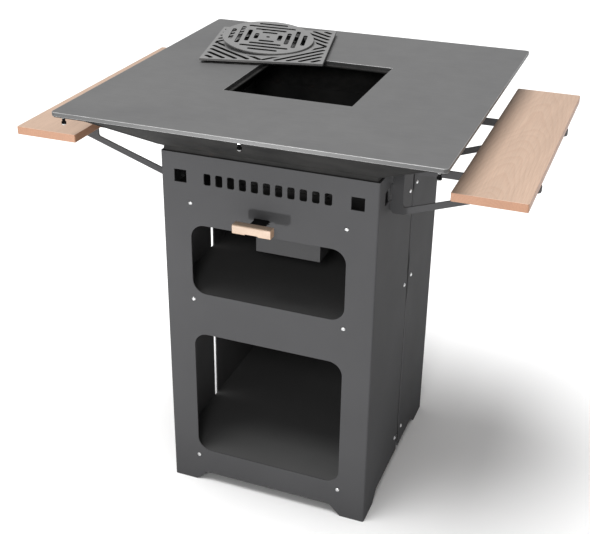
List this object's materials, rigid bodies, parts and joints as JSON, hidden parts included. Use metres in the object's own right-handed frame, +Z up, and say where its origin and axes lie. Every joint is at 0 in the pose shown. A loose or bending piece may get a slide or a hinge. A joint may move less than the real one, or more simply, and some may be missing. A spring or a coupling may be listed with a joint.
{
  "type": "charcoal fire table with hotplate",
  "caption": "Square charcoal fire table: a steel hotplate with a loose cast grate over a fire pan, on a folded sheet cabinet with an ash gate and wooden side boards.",
  "frame": {"origin": "on the floor, under the middle of the cabinet", "axes": "+X to the right, from board to board; +Y to the back, away from the front openings; +Z up"},
  "size_m": [1.002, 0.75, 0.9239],
  "materials": {
    "shell": "satin charcoal powder coat",
    "shelf": "satin charcoal powder coat, sooty",
    "firebox": "heat-resistant matt black",
    "chute": "satin charcoal powder coat",
    "strap": "matt black",
    "hotplate": "seasoned satin steel",
    "cast": "matt cast",
    "zinc": "bright zinc",
    "board": "pale hardwood, lightly oiled",
    "grip": "light hardwood, oiled"
  },
  "bodies": {
    "root": {"front_shell": "shell", "rear_shell": "shell", "bottom_shelf": "shelf", "middle_shelf": "shelf", "fire_deck": "firebox", "front_screws": "zinc", "rear_screws": "zinc", "left_screws": "zinc", "right_screws": "zinc", "shelf_nuts": "zinc", "ash_chute": "chute", "left_gate_rail": "chute", "right_gate_rail": "chute", "chute_screws": "strap", "chute_nuts": "strap", "pan_collar": "firebox", "pan_front_wall": "firebox", "pan_rear_wall": "firebox", "pan_left_wall": "firebox", "pan_right_wall": "firebox", "pan_rim": "firebox", "hotplate": "hotplate", "grate_ledge": "firebox", "levelling_screws": "zinc", "levelling_nuts": "zinc", "front_left_bracket": "shell", "front_right_bracket": "shell", "rear_left_bracket": "shell", "rear_right_bracket": "shell", "left_board": "board", "right_board": "board", "left_board_screws": "zinc", "right_board_screws": "zinc"},
    "ash_gate": {"gate_plate": "chute", "pull_strap": "strap", "gate_rivets": "zinc", "pull_grip": "grip", "grip_screws": "zinc"},
    "square_grate": {"grate_frame": "cast"},
    "round_insert": {"grate_disc": "cast"},
    "coal_grate": {"charcoal_grate": "cast"}
  },
  "joints": [
    {"name": "ash_gate_pull", "type": "slide", "parent": "root", "child": "ash_gate", "axis": [0, -1, 0], "range_m": [0, 0.1]},
    {"name": "square_grate_lift", "type": "slide", "parent": "root", "child": "square_grate", "axis": [0, 0, 1], "range_m": [0, 0.15]},
    {"name": "round_insert_lift", "type": "slide", "parent": "square_grate", "child": "round_insert", "axis": [0, 0, 1], "range_m": [0, 0.12]},
    {"name": "coal_grate_lift", "type": "slide", "parent": "root", "child": "coal_grate", "axis": [0, 0, 1], "range_m": [0, 0.15]}
  ]
}
